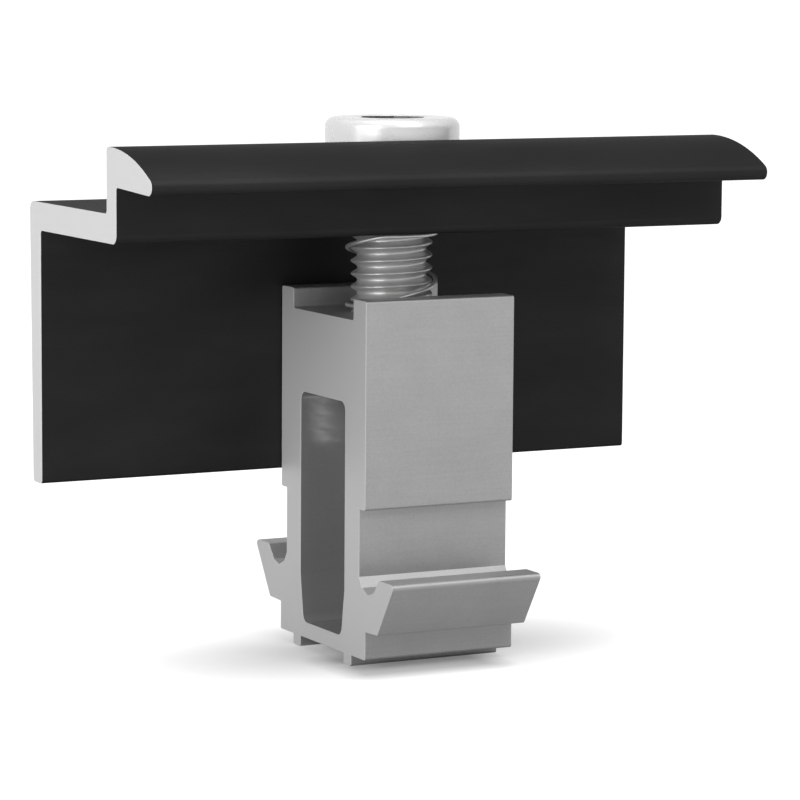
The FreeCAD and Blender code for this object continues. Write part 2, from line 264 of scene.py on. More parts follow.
@dataclass(frozen=True)
class SawnAluminium(Finish):
    """Bare saw-cut aluminium: fine curved tooth marks across the section."""

    dark: Triple = (0.71, 0.71, 0.71)
    light: Triple = (0.82, 0.82, 0.82)
    roughness: Range = (0.50, 0.62)
    mark_pitch: float = 0.28
    mark_depth: float = 0.008
    mark_share: float = 0.35
    wander: float = 2.4
    blade_centre: Range = (60.0, -90.0)

    def make(self) -> Material:
        """Makes the material: rings about the blade's far centre, broken up by noise.

        Returns:
            The material.
        """
        bench = MaterialBench(self.name)
        away = bench.vector("DISTANCE", bench.place((0.0, 1.0, 1.0)), (0.0, *self.blade_centre))
        wander = bench.math("MULTIPLY", bench.noise(bench.place(), scale=0.8), self.wander)
        turns = bench.math("ADD", bench.math("DIVIDE", away, self.mark_pitch), wander)
        wave = bench.math("SINE", bench.math("MULTIPLY", turns, math.tau))
        marks = bench.spread(wave, 0.0, 1.0, start=-1.0, end=1.0)
        grain = bench.noise(bench.place(), scale=6.0, detail=3.0, roughness=0.65)
        tone = bench.math("ADD", bench.math("MULTIPLY", marks, self.mark_share),
                          bench.math("MULTIPLY", grain, 1 - self.mark_share))
        normal = bench.bump(marks, self.mark_depth, strength=0.5)
        normal = bench.bump(grain, 0.6 * self.mark_depth, under=normal)
        return self.dress(bench, tone, grain, Normal=normal, Metallic=0.35)


@dataclass(frozen=True)
class MillAluminium(Finish):
    """Plain extruded aluminium, matt: a fine speckle with faint die lines along X."""

    dark: Triple = (0.43, 0.43, 0.435)
    light: Triple = (0.56, 0.56, 0.565)
    roughness: Range = (0.46, 0.56)
    speckle_depth: float = 0.004
    line_depth: float = 0.002
    metallic: float = 0.85
    shares: Triple = (0.6, 0.2, 0.2)

    def make(self) -> Material:
        """Makes the material: the colour is a sum of speckle, cloud and die lines, by their shares.

        Returns:
            The material.
        """
        bench = MaterialBench(self.name)
        speckle = bench.noise(bench.place(), scale=5.5, detail=3.0, roughness=0.7)
        cloud = bench.noise(bench.place(), scale=0.25)
        lines = bench.noise(bench.place((0.03, 1.0, 1.0)), scale=5.0, detail=3.0, roughness=0.6)
        parts = [bench.spread(p, 0.0, share) for p, share in zip((speckle, cloud, lines), self.shares)]
        tone = bench.math("ADD", bench.math("ADD", parts[0], parts[1]), parts[2])
        normal = bench.bump(lines, self.line_depth, under=bench.bump(speckle, self.speckle_depth))
        return self.dress(bench, tone, speckle, Normal=normal, Metallic=self.metallic)


@dataclass(frozen=True)
class TurnedStainless(Finish):
    """Satin stainless steel with fine turning marks round the screw's axis."""

    dark: Triple = (0.92, 0.92, 0.915)
    light: Triple = (0.98, 0.98, 0.975)
    roughness: Range = (0.22, 0.30)
    mark_depth: float = 0.0015
    metallic: float = 0.2

    def make(self) -> Material:
        """Makes the material: noise of the distance from the axis and of the height only.

        Returns:
            The material.
        """
        bench = MaterialBench(self.name)
        spot = bench.add("ShaderNodeSeparateXYZ", {0: bench.place()}).outputs
        away = bench.vector("LENGTH", bench.place((1.0, 1.0, 0.0)))
        round_axis = bench.add("ShaderNodeCombineXYZ", {0: away, 2: spot[2]})
        marks = bench.noise(round_axis.outputs[0], scale=9.0, detail=3.0, roughness=0.6)
        smudge = bench.noise(bench.place(), scale=0.5, detail=3.0)
        tone = bench.math("MULTIPLY", bench.spread(marks, 0.55, 1.0), bench.spread(smudge, 0.7, 1.0))
        return self.dress(bench, tone, smudge, Normal=bench.bump(marks, self.mark_depth),
                          Metallic=self.metallic)


@dataclass(frozen=True)
class DrawnWire(Finish):
    """Thin drawn steel wire: streaks along it, read from the wire's own map."""

    dark: Triple = (0.66, 0.66, 0.66)
    light: Triple = (0.84, 0.84, 0.835)
    roughness: Range = (0.30, 0.42)
    streak_depth: float = 0.002

    def make(self) -> Material:
        """Makes the material: noise stretched along the map's first direction.

        Returns:
            The material.
        """
        bench = MaterialBench(self.name)
        along = bench.add("ShaderNodeUVMap", uv_map="wire").outputs[0]
        stretched = bench.add("ShaderNodeMapping", {0: along, 3: (6.0, 9.0, 1.0)}).outputs[0]
        streaks = bench.noise(stretched, scale=2.0, detail=3.0, roughness=0.6)
        return self.dress(bench, bench.spread(streaks, 0.0, 1.0), streaks,
                          Normal=bench.bump(streaks, self.streak_depth), Metallic=0.6)


# Surfaces


@dataclass
class Shell:
    """One piece's surface: patches in millimetres, welded where they meet.

    A patch names its finish by number, and the count is of all the patches' points.
    """

    name: str
    finishes: Sequence[Finish]
    patches: list[tuple[Array, ...]] = field(default_factory=list)
    count: int = 0

    def _take(self, points: Array, faces: Array, normals: Array, finish: int, spots: Array) -> None:
        """Keeps a patch, turned so that it faces along its normals.

        Args:
            points: (points, 3) places.
            faces: (faces, 4) numbers of each face's corners.
            normals: (points, 3) outward directions.
            finish: number of the finish.
            spots: (points, 2) places on the piece's map.
        """
        corners = points[faces]
        facing = np.cross(corners[:, 2] - corners[:, 0], corners[:, 3] - corners[:, 1])
        if (facing * normals[faces].sum(axis=1)).sum() < 0:
            faces = faces[:, ::-1]
        of_corners = (faces + self.count, normals[faces], spots[faces], np.full(faces.shape, finish))
        self.patches.append((points, *of_corners))
        self.count += len(points)

    def grid(self, points: Array, normals: Array, finish: int = 0, keep: Array | None = None) -> None:
        """Adds a patch: faces between neighbouring points of a grid.

        Args:
            points: (rows, columns, 3) places.
            normals: outward directions, of the same shape or one that stretches to it.
            finish: number of the finish.
            keep: (rows - 1, columns - 1) truths, False where a face is left out.
        """
        rows, columns, _ = points.shape
        index = np.arange(rows * columns).reshape(rows, columns)
        faces = np.stack([index[:-1, :-1], index[:-1, 1:], index[1:, 1:], index[1:, :-1]], axis=-1)
        faces = faces[keep] if keep is not None else faces.reshape(-1, 4)
        normals = np.broadcast_to(normals, points.shape).reshape(-1, 3)
        across, along = np.meshgrid(np.linspace(0, 1, columns), np.linspace(0, 1, rows))
        spots = np.stack([along, across], axis=-1).reshape(-1, 2)
        self._take(points.reshape(-1, 3), faces, normals, finish, spots)

    def plate(self, loops: Sequence[Array], normal: Sequence[float], finish: int = 0) -> None:
        """Adds a flat patch bounded by closed loops, the first outside and the rest holes.

        Args:
            loops: (points, 3) places of each loop.
            normal: outward direction.
            finish: number of the finish.
        """
        points = np.concatenate(loops)
        across = [i for i in range(3) if abs(normal[i]) < 0.5]
        flat = [[Vector((*point[across], 0.0)) for point in loop] for loop in loops]
        faces = np.array(tessellate_polygon(flat))[:, [0, 1, 2, 2]]
        normals = np.broadcast_to(np.asarray(normal, float), points.shape)
        self._take(points, faces, normals, finish, np.zeros((len(points), 2)))

    def build(self, slot: Slot) -> Piece:
        """Welds the patches and makes the mesh, with each face corner's own normal.

        Points in one cell of the welding grid become one, and a face that has two corners left
        in one place becomes a triangle.

        Args:
            slot: the record's slot; not used.

        Returns:
            The new object, at the origin.
        """
        points, faces, *parts = (np.concatenate(kept) for kept in zip(*self.patches))
        cells = np.floor(points / WELD + CELL_SHIFT).astype(np.int64)
        _, first, place = np.unique(cells, axis=0, return_index=True, return_inverse=True)
        faces = place.reshape(-1)[faces]
        same = faces == np.roll(faces, -1, axis=1)
        full = ~same.any(axis=1)
        kinds = [[part[full] for part in (faces, *parts)]]
        for corner in range(4):
            order = [(corner + step) % 4 for step in (0, 2, 3)]
            rest = faces[:, order]
            distinct = (rest != np.roll(rest, -1, axis=1)).all(axis=1)
            single = same[:, corner] & (same.sum(axis=1) == 1) & distinct
            kinds.append([part[single][:, order] for part in (faces, *parts)])

        mesh = bpy.data.meshes.new(self.name)
        polygons = [face for kind in kinds for face in kind[0].tolist()]
        mesh.from_pydata((points[first] * MM).tolist(), [], polygons)
        mesh.polygons.foreach_set("material_index", np.concatenate([kind[3][:, 0] for kind in kinds]))
        spots = np.concatenate([kind[2].reshape(-1, 2) for kind in kinds])
        mesh.uv_layers.new(name="wire").data.foreach_set("uv", spots.astype(np.float32).ravel())
        mesh.shade_smooth()
        directions = np.concatenate([kind[1].reshape(-1, 3) for kind in kinds])
        directions /= np.linalg.norm(directions, axis=1, keepdims=True)
        mesh.normals_split_custom_set(directions.tolist())
        for finish in self.finishes:
            mesh.materials.append(finish.make())
        piece = put(self.name, mesh)
        return piece


def around(angle: float | Array) -> Array:
    """Level unit directions (cos a, sin a, 0) at angles a about the screw's axis."""
    return np.stack([np.cos(angle), np.sin(angle), 0 * angle], axis=-1)


def revolved(profile: Array | Sequence[complex], columns: int) -> Array:
    """Points (r cos a, r sin a, z) about the screw's axis, a row for each r + iz of a profile."""
    profile = np.asarray(profile)[:, None, None]
    return profile.real * around(np.linspace(0, math.tau, columns + 1)) + profile.imag * UP


def spatial(x: float | Array, flat: Array) -> Array:
    """Points (x, y, z) of x and y + iz, each stretched to the other's shape."""
    return np.stack(np.broadcast_arrays(x, flat.real, flat.imag), axis=-1)


def sweep(start: float, end: float, radius: float) -> Array:
    """Unit directions from angle to angle, at most 2 acos(1 - chord error / radius) apart."""
    step = 2 * math.acos(max(-1.0, 1 - CHORD_ERROR / radius))
    return np.exp(1j * np.linspace(start, end, max(2, math.ceil(abs(end - start) / step)) + 1))


@dataclass(frozen=True)
class Corner:
    """A corner of a section, round or sharp."""

    y: float
    z: float
    radius: float = 0.0

    def ends(self) -> tuple[complex, complex]:
        """Where the lines from both neighbours aim."""
        return (complex(self.y, self.z),) * 2

    def bend(self, before: complex, after: complex) -> tuple[Array, Array]:
        """Works out the corner's arc, which touches the lines to both neighbours.

        The arc starts radius times the tangent of half the turn before the corner, and its
        normals turn evenly from the first line's to the second's.

        Args:
            before: the neighbour's end before it.
            after: the neighbour's start after it.

        Returns:
            The arc's points and normals, one of each for a sharp corner.
        """
        spot = complex(self.y, self.z)
        ahead, then = (spot - before) / abs(spot - before), (after - spot) / abs(after - spot)
        if self.radius <= 0:
            return np.array([spot]), np.array([-1j * ahead])
        turn = cmath.phase(then / ahead)
        arm = math.copysign(self.radius, turn)
        centre = spot - ahead * self.radius * math.tan(abs(turn) / 2) + 1j * arm * ahead
        normals = -1j * ahead * sweep(0, turn, self.radius)
        return centre + arm * normals, normals


@dataclass(frozen=True)
class Arc:
    """An arc of a section, drawn anticlockwise about its centre from start to end, in radians."""

    centre: complex
    radius: float
    start: float
    end: float

    def ends(self) -> tuple[complex, complex]:
        """Centre plus radius times the directions of the two angles."""
        return tuple(self.centre + cmath.rect(self.radius, angle) for angle in (self.start, self.end))

    def bend(self, *_: complex) -> tuple[Array, Array]:
        """The arc's points, its centre plus radius times the normals, and those normals."""
        normals = sweep(self.start, self.end, self.radius)
        return self.centre + self.radius * normals, normals


def mirrored(right: Sequence[Corner]) -> list[Corner]:
    """Corners of a right half, followed by the same on the left in the opposite order."""
    return [*right, *(Corner(-c.y, c.z, c.radius) for c in reversed(right))]


class Section:
    """A closed outline with the solid on its left: runs of points y + iz, with normals."""

    def __init__(self, items: Sequence[Corner | Arc], cuts: Sequence[float] = ()) -> None:
        """Works out the runs, and the mitres along which the outline shrinks.

        A mitre is the sum of two neighbouring runs' normals over one plus their dot product.

        Args:
            items: corners and arcs in order, joined by straight lines.
            cuts: Y of extra points on level lines that pass under or over the axis.
        """
        self.runs: list[tuple[Array, Array]] = []
        ends = [item.ends() for item in items]
        following = [*range(1, len(items)), 0]
        bends = [item.bend(ends[k - 1][1], ends[following[k]][0]) for k, item in enumerate(items)]
        for (points, normals), k in zip(bends, following):
            if len(points) > 1:
                self.runs.append((points, normals))
            self._line(points[-1], bends[k][0][0], cuts)
        self.mitres = [normals.copy() for _, normals in self.runs]
        for k, mitres in enumerate(self.mitres):
            for spot, other in ((0, self.runs[k - 1][1][-1]), (-1, self.runs[k + 1 - len(self.runs)][1][0])):
                mitres[spot] = (mitres[spot] + other) / (1 + (mitres[spot] * other.conjugate()).real)

    def _line(self, start: complex, end: complex, cuts: Sequence[float]) -> None:
        """Adds a straight run, with the cuts if it is level and passes the axis.

        Its normal is its direction turned a right angle clockwise, so away from the solid.

        Args:
            start: its first point.
            end: its last point.
            cuts: Y of the extra points.
        """
        if abs(end - start) < TINY:
            return
        along, line = (end - start) / abs(end - start), [start, end]
        if abs(along.imag) < TINY and start.real * end.real < 0:
            low, high = sorted((start.real, end.real))
            inside = sorted((c for c in cuts if low + TINY < c < high - TINY), reverse=bool(along.real < 0))
            line[1:1] = [complex(c, start.imag) for c in inside]
        self.runs.append((np.array(line), np.full(len(line), -1j * along)))

    def loop(self, inset: float) -> Array:
        """The outline's points, moved into the solid by inset along the mitres."""
        return np.concatenate([points[:-1] - inset * mitres[:-1]
                               for (points, _), mitres in zip(self.runs, self.mitres)])


@dataclass(frozen=True)
class Bore:
    """An upright round hole on the axis between two levels of a section, in a square collar."""

    radius: float
    ys: tuple[float, ...]
    low: float
    high: float
    low_ys: tuple[float, ...] = (-1.0, 1.0)
    low_zs: tuple[float, ...] = ()
    half_x: float = 5.0
    steps: int = 8
    slack: float = 0.1

    def xs(self) -> Array:
        """Stations along X across the collar."""
        return np.linspace(-self.half_x, self.half_x, self.steps + 1)

    def edges(self) -> Array:
        """Works out the collar's two closed edges, as points x + iy.

        The circle's points are the radius times the square's over their distance from the axis.

        Returns:
            The square, anticlockwise through all its stations, and the circle.
        """
        xs, ys = self.xs(), np.array(self.ys)
        sides = (xs + 1j * ys[0], xs[-1] + 1j * ys, xs[::-1] + 1j * ys[-1], xs[0] + 1j * ys[::-1])
        square = np.concatenate([*(side[:-1] for side in sides), sides[0][:1]])
        return np.stack([square, self.radius * square / abs(square)])

    def keep(self, middles: Array) -> Array:
        """False for a face whose middle lies inside the collar and between the two levels."""
        level, reach = (self.low + self.high) / 2, (self.high - self.low) / 2 + self.slack
        return (np.abs(middles - UP * level) >= (self.half_x, self.ys[-1], reach)).any(axis=-1)

    def add(self, shell: Shell, finish: int) -> None:
        """Adds the two flat collars from square to circle, and the wall between them.

        Args:
            shell: where they go.
            finish: number of their finish.
        """
        edges = self.edges()
        flat = np.stack([edges.real, edges.imag, np.zeros(edges.shape)], axis=-1)
        low = np.interp(edges.imag, self.low_ys, self.low_zs or (self.low, self.low))
        top, bottom = flat + UP * self.high, flat + UP * low[..., None]
        shell.grid(top, UP, finish)
        shell.grid(bottom, -UP, finish)
        shell.grid(np.stack([top[1], bottom[1]]), -flat[1], finish)


@dataclass
class Extrusion:
    """A bar of constant section along X, sawn at both ends with the cuts' edges barely broken."""

    shell: Shell
    sections: list[Section]
    start: float
    end: float
    bore: Bore
    side_finishes: tuple[int, ...] = (0,)
    end_finish: int = 1
    edge: float = 0.05
    edge_steps: int = 3

    def build(self) -> None:
        """Adds the sides, the broken edges, the end faces and the bore.

        A side point is (x, y, z) with y + iz from the section and x from the stations. Over a
        broken edge x goes the edge times the sine of an angle from 0 to a right angle, and the
        inset goes the edge times one minus its cosine.
        """
        stations = np.concatenate([[self.start + self.edge], self.bore.xs(), [self.end - self.edge]])
        angles = np.linspace(0, math.pi / 2, self.edge_steps + 1)
        cos, sin = np.cos(angles), np.sin(angles)
        ends = ((-1.0, self.start), (1.0, self.end))
        for section, finish in zip(self.sections, self.side_finishes):
            for (points, normals), mitres in zip(section.runs, section.mitres):
                points, normals = points[:, None], normals[:, None]
                side = spatial(stations, points)
                keep = self.bore.keep((side[:-1, :-1] + side[1:, 1:]) / 2)
                self.shell.grid(side, spatial(0.0, normals), finish, keep)
                inset = self.edge * (1 - cos) * mitres[:, None]
                for sign, x in ends:
                    broken = spatial(x - sign * self.edge * (1 - sin), points - inset)
                    self.shell.grid(broken, spatial(sign * sin, normals * cos), self.end_finish)
        for sign, x in ends:
            loops = [spatial(x, section.loop(self.edge)) for section in self.sections]
            self.shell.plate(loops, (sign, 0.0, 0.0), self.end_finish)
        self.bore.add(self.shell, self.side_finishes[0])


# Pieces of the clamp


@dataclass
class ClampStrip:
    """The black extruded strip: leg, shelf, web and crowned lip."""

    start: float = -32.7
    end: float = 31.9
    leg_inner: float = 9.3
    leg_root_outer: float = 12.0
    leg_tip_outer: float = 11.45
    leg_end: float = 17.1
    shelf_under: float = 41.4
    shelf_top: float = 44.1
    web_back: float = -6.9
    web_front: float = -9.1
    lip_root: float = 46.6
    crown_top: float = 50.2
    crown_start: float = -7.35
    nose: Range = (-16.4, 47.03)
    nose_radius: float = 0.75
    corner: float = 0.35
    bend: float = 0.85
    hole_radius: float = 4.2
    collar: float = 5.0
    collar_steps: int = 8
    side: Finish = BlackAnodised("black_anodised_strip")
    cut: Finish = SawnAluminium("sawn_strip_end")

    def section(self, cuts: Sequence[float]) -> Section:
        """Draws the strip's outline.

        The crown is the arc that leaves the web's level top and closes on the nose's circle: its
        radius is (run² + drop² − nose²) / (−2 (drop + nose)), where run and drop lead from the
        crown's start to the nose's centre. The underside touches the nose from the web.

        Args:
            cuts: Y of extra points on the shelf.

        Returns:
            The outline.
        """
        nose = complex(*self.nose)
        run, drop = self.nose[0] - self.crown_start, self.nose[1] - self.crown_top
        radius = (run ** 2 + drop ** 2 - self.nose_radius ** 2) / (-2 * (drop + self.nose_radius))
        centre = complex(self.crown_start, self.crown_top - radius)
        meet = cmath.phase(nose - centre)
        reach = nose - complex(self.web_front, self.lip_root)
        leave = cmath.phase(reach) + math.asin(self.nose_radius / abs(reach)) + math.pi / 2
        while leave < meet:
            leave += math.tau
        return Section([
            Corner(self.leg_inner, self.leg_end, self.corner),
            Corner(self.leg_tip_outer, self.leg_end, self.corner),
            Corner(self.leg_root_outer, self.shelf_top, self.bend),
            Corner(self.web_back, self.shelf_top, self.corner),
            Corner(self.web_back, self.crown_top, self.corner),
            Arc(centre, radius, math.pi / 2, meet),
            Arc(nose, self.nose_radius, meet, leave),
            Corner(self.web_front, self.lip_root, self.corner),
            Corner(self.web_front, self.shelf_under, self.bend),
            Corner(self.leg_inner, self.shelf_under, self.corner),
        ], cuts)

    def build(self) -> Piece:
        """Builds the strip with its sawn ends and the screw's hole.

        Returns:
            The piece.
        """
        ys = tuple(np.linspace(-self.collar, self.collar, self.collar_steps + 1))
        bore = Bore(self.hole_radius, ys, self.shelf_under, self.shelf_top)
        shell = Shell("clamp_strip", [self.side, self.cut])
        Extrusion(shell, [self.section(ys)], self.start, self.end, bore).build()
        piece = shell.build(Slot.ANODISED)
        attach(piece, Body.CLAMP.value)
        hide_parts("clamp_profile")
        return piece


@dataclass
class ClickBlock:
    """The plain extruded block: hooks and feet below, slot through the middle, channel on top."""

    start: float = -7.35
    end: float = 8.55
    foot_inner: float = 4.75
    foot_outer: float = 6.35
    foot_height: float = 1.05
    base: float = 9.3
    hook_root: float = 3.8
    hook_under: float = 3.9
    hook_foot: float = 11.8
    hook_tip: float = 15.25
    hook_top: float = 9.2
    hook_land: float = 12.1
    hook_round: float = 0.4
    notch_outer: Range = (10.95, 7.8)
    notch_inner: Range = (9.75, 7.45)
    ramp_foot: Range = (8.55, 7.975)
    ramp_top: float = 8.925
    waist: float = 7.95
    step: float = 15.4
    body: float = 9.15
    top: float = 35.3
    channel: float = 6.5
    channel_floor: float = 33.3
    slot_floor: float = 2.6
    slot_foot: float = 4.15
    slot_half: float = 4.83
    slot_taper: float = 7.2
    slot_top: float = 25.3
    slot_round: float = 0.9
    corner: float = 0.25
    bore_radius: float = 4.0
    collar: float = 3.0
    collar_steps: int = 6
    side: Finish = MillAluminium("mill_aluminium_block")
    cut: Finish = SawnAluminium("sawn_block_end", (0.57, 0.57, 0.575), (0.71, 0.71, 0.715))
    lining: Finish = MillAluminium("die_smooth_slot", (0.42, 0.42, 0.425), (0.48, 0.48, 0.485), (0.14, 0.18),
                                   speckle_depth=0.0005, line_depth=0.0005, metallic=0.5)

    def outline(self, cuts: Sequence[float]) -> Section:
        """The outer outline: the right half's corners, then the same mirrored."""
        return Section(mirrored([
            Corner(self.foot_inner, self.foot_height),
            Corner(self.foot_inner, 0.0, self.corner),
            Corner(self.foot_outer, 0.0, self.corner),
            Corner(self.foot_outer, self.foot_height),
            Corner(self.base, self.foot_height, self.corner),
            Corner(self.base, self.hook_root),
            Corner(self.hook_foot, self.hook_under, self.corner),
            Corner(self.hook_tip, self.hook_top, self.hook_round),
            Corner(self.hook_land, self.hook_top, self.corner),
            Corner(*self.notch_outer),
            Corner(*self.notch_inner),
            Corner(*self.ramp_foot),
            Corner(self.waist, self.ramp_top),
            Corner(self.waist, self.step),
            Corner(self.body, self.step, self.corner),
            Corner(self.body, self.top, self.corner),
            Corner(self.channel, self.top, self.corner),
            Corner(self.channel, self.channel_floor, self.corner),
        ]), cuts)

    def slot(self, cuts: Sequence[float] = ()) -> Section:
        """The slot's outline, drawn clockwise so that the solid is on its left."""
        return Section(mirrored([
            Corner(self.slot_half, self.slot_top, self.slot_round),
            Corner(self.slot_half, self.slot_taper),
            Corner(self.slot_foot, self.slot_floor, self.slot_round),
        ]), cuts)

    def bore(self) -> Bore:
        """Works out the tapped hole, whose collar reaches into the slot's round corners.

        Its Y stations are those of the slot's ceiling and corners, out to the first one past
        the hole, so that the collar meets the rounds point for point.

        Returns:
            The hole between the slot's ceiling and the channel's floor.
        """
        near, past = 0.08, 0.1
        flat = np.linspace(-self.collar, self.collar, self.collar_steps + 1)
        ceiling = np.concatenate([points for points, _ in self.slot().runs])
        ceiling = np.sort_complex(ceiling[ceiling.imag > self.slot_top - near])
        ys = np.unique(np.round(np.concatenate([flat, ceiling.real]), 9))
        reach = min(y for y in ys if y > self.bore_radius + past)
        ys = tuple(ys[np.abs(ys) < reach + WELD])
        return Bore(self.bore_radius, ys, self.slot_top, self.channel_floor,
                    tuple(ceiling.real), tuple(ceiling.imag))

    def build(self) -> Piece:
        """Builds the block with its slot and bore.

        Returns:
            The piece.
        """
        bore = self.bore()
        sections = [self.outline(bore.ys), self.slot(bore.ys)]
        shell = Shell("click_block_body", [self.side, self.cut, self.lining])
        Extrusion(shell, sections, self.start, self.end, bore, side_finishes=(0, 2)).build()
        piece = shell.build(Slot.ALUMINIUM)
        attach(piece, Body.BLOCK.value)
        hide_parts("click_block")
        return piece


@dataclass
class ClampScrew:
    """The socket-head screw: rounded head, hexagon socket and a real right-hand thread."""

    seat: float = 44.1
    tip: float = 19.1
    head_radius: float = 6.5
    head_top: float = 52.1
    rim: float = 0.9
    under_edge: float = 0.25
    hex_flat: float = 3.0
    hex_floor: float = 47.9
    countersink: float = 3.5
    countersink_depth: float = 0.04
    countersink_lean: float = 0.75
    drill_radius: float = 2.5
    drill_depth: float = 0.9
    drill_lean: float = 0.35
    crest: float = 3.95
    crest_half: float = 0.05
    root_half: float = 0.08
    eased: float = 0.55
    depth: float = 0.62
    pitch: float = 1.25
    phase: float = 0.15
    chamfer: float = 0.8
    neck: float = 0.5
    run_out: float = 1.4
    columns: int = 96
    rows_per_pitch: int = 22
    rim_steps: int = 12
    under_steps: int = 4
    turned: Finish = TurnedStainless("turned_stainless")
    # painted shade: the same stainless as the head, made darker for the strip's shadow over the thread
    thread_in_shade: Finish = TurnedStainless("thread_painted_shade", (0.54, 0.54, 0.535), (0.68, 0.68, 0.675),
                                     (0.30, 0.38), metallic=0.45)
    # painted shade: the same stainless, made dark for the shade inside the hexagon socket
    socket_in_shade: Finish = TurnedStainless("socket_painted_shade", (0.30, 0.30, 0.30), (0.40, 0.40, 0.40),
                                       (0.25, 0.35), metallic=1.0)

    def thread_radius(self, angle: Array, z: Array) -> Array:
        """Works out the radius of the threaded shank.

        Across one pitch the radius falls from the crest to the root along a ramp that is partly
        straight and partly eased. Near the tip it stays inside a cone at 45 degrees, and near
        the head the groove fades out.

        Args:
            angle: angles round the axis.
            z: heights.

        Returns:
            The radius at each.
        """
        share = (z - self.tip) / self.pitch - angle / math.tau + self.phase
        off = np.abs(share - np.round(share)) * self.pitch
        ramp = np.clip((off - self.crest_half) / (self.pitch / 2 - self.crest_half - self.root_half), 0, 1)
        fall = (1 - self.eased) * ramp + self.eased * ramp ** 2 * (3 - 2 * ramp)
        fade = np.clip((self.seat - self.neck - z) / self.run_out, 0, 1)
        radius = self.crest - self.depth * fall * fade
        return np.minimum(radius, self.crest - self.chamfer + (z - self.tip))

    def build(self) -> Piece:
        """Builds the screw as one closed surface.

        Returns:
            The piece.
        """
        shell = Shell("socket_screw", [self.turned, self.thread_in_shade, self.socket_in_shade])
        self._shank(shell)
        self._head(shell)
        self._socket(shell)
        piece = shell.build(Slot.STAINLESS)
        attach(piece, Body.SCREW.value)
        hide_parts("clamp_screw")
        return piece

    def _shank(self, shell: Shell) -> None:
        """Adds the thread, as a radius over angle and height, and the flat end.

        The normal is one outwards, minus the radius's slope round the axis over the radius,
        minus its slope up the axis.

        Args:
            shell: where they go.
        """
        rows = int((self.seat - self.tip) / self.pitch * self.rows_per_pitch)
        z, angle = np.meshgrid(np.linspace(self.tip, self.seat, rows + 1),
                               np.linspace(0, math.tau, self.columns + 1), indexing="ij")
        radius, small = self.thread_radius(angle, z)[..., None], 0.01
        up = self.thread_radius(angle, z + small) - self.thread_radius(angle, z - small)
        turn = self.thread_radius(angle + small, z) - self.thread_radius(angle - small, z)
        points = radius * around(angle) + UP * z[..., None]
        normals = around(angle) - UP * up[..., None] / (2 * small)
        normals -= around(angle + math.pi / 2) * turn[..., None] / (2 * small * radius)
        # finish 1 is the thread's stainless darkened as painted shade
        shell.grid(points, normals / np.linalg.norm(normals, axis=-1, keepdims=True), 1)
        shell.grid(np.stack([points[0], points[0] * UP]), -UP, 1)

    def _head(self, shell: Shell) -> None:
        """Adds the seat, the head's side with its round rim, and the flat top.

        Over a round the profile is its centre plus its radius times a direction that turns by a
        right angle, which is the normal as well.

        Args:
            shell: where they go.
        """
        seat_edge, rim_edge = self.head_radius - self.under_edge, self.head_radius - self.rim
        seat, top = 1j * self.seat, 1j * self.head_top
        under = np.exp(1j * np.linspace(-math.pi / 2, 0, self.under_steps + 1))
        over = np.exp(1j * np.linspace(0, math.pi / 2, self.rim_steps + 1))
        side = np.concatenate([seat_edge + seat + self.under_edge * (1j + under),
                               rim_edge + top + self.rim * (over - 1j)])
        turns = np.concatenate([under, over])
        shell.grid(revolved([self.crest + seat, seat_edge + seat], self.columns), -UP)
        shell.grid(revolved(side, self.columns), revolved(turns, self.columns))
        shell.grid(revolved([rim_edge + top, self.countersink + top], self.columns), UP)

    def _socket(self, shell: Shell) -> None:
        """Adds the countersink, the hexagon's six walls, its floor and the drill's cone.

        On each of the six sides the hexagon's radius is the flat's distance over the cosine of
        the angle from the flat's middle.

        Args:
            shell: where they go.
        """
        half = math.pi / 6
        for side in range(6):
            middle = (2 * side + 1) * half
            angles = np.linspace(middle - half, middle + half, self.columns // 6 + 1)
            out = around(angles)
            reach = (self.hex_flat / np.cos(angles - middle))[:, None]
            rim = out * self.countersink + UP * self.head_top
            mouth = out * reach + UP * (self.head_top - self.countersink_depth)
            foot = out * reach + UP * self.hex_floor
            lip = out * self.drill_radius + UP * self.hex_floor
            point = np.broadcast_to(UP * (self.hex_floor - self.drill_depth), lip.shape)
            shell.grid(np.stack([rim, mouth]), UP - out * self.countersink_lean)
            # finish 2 is the socket's painted shade
            shell.grid(np.stack([mouth, foot]), -around(middle), 2)
            shell.grid(np.stack([foot, lip]), UP, 2)
            shell.grid(np.stack([lip, point]), UP - out * self.drill_lean, 2)


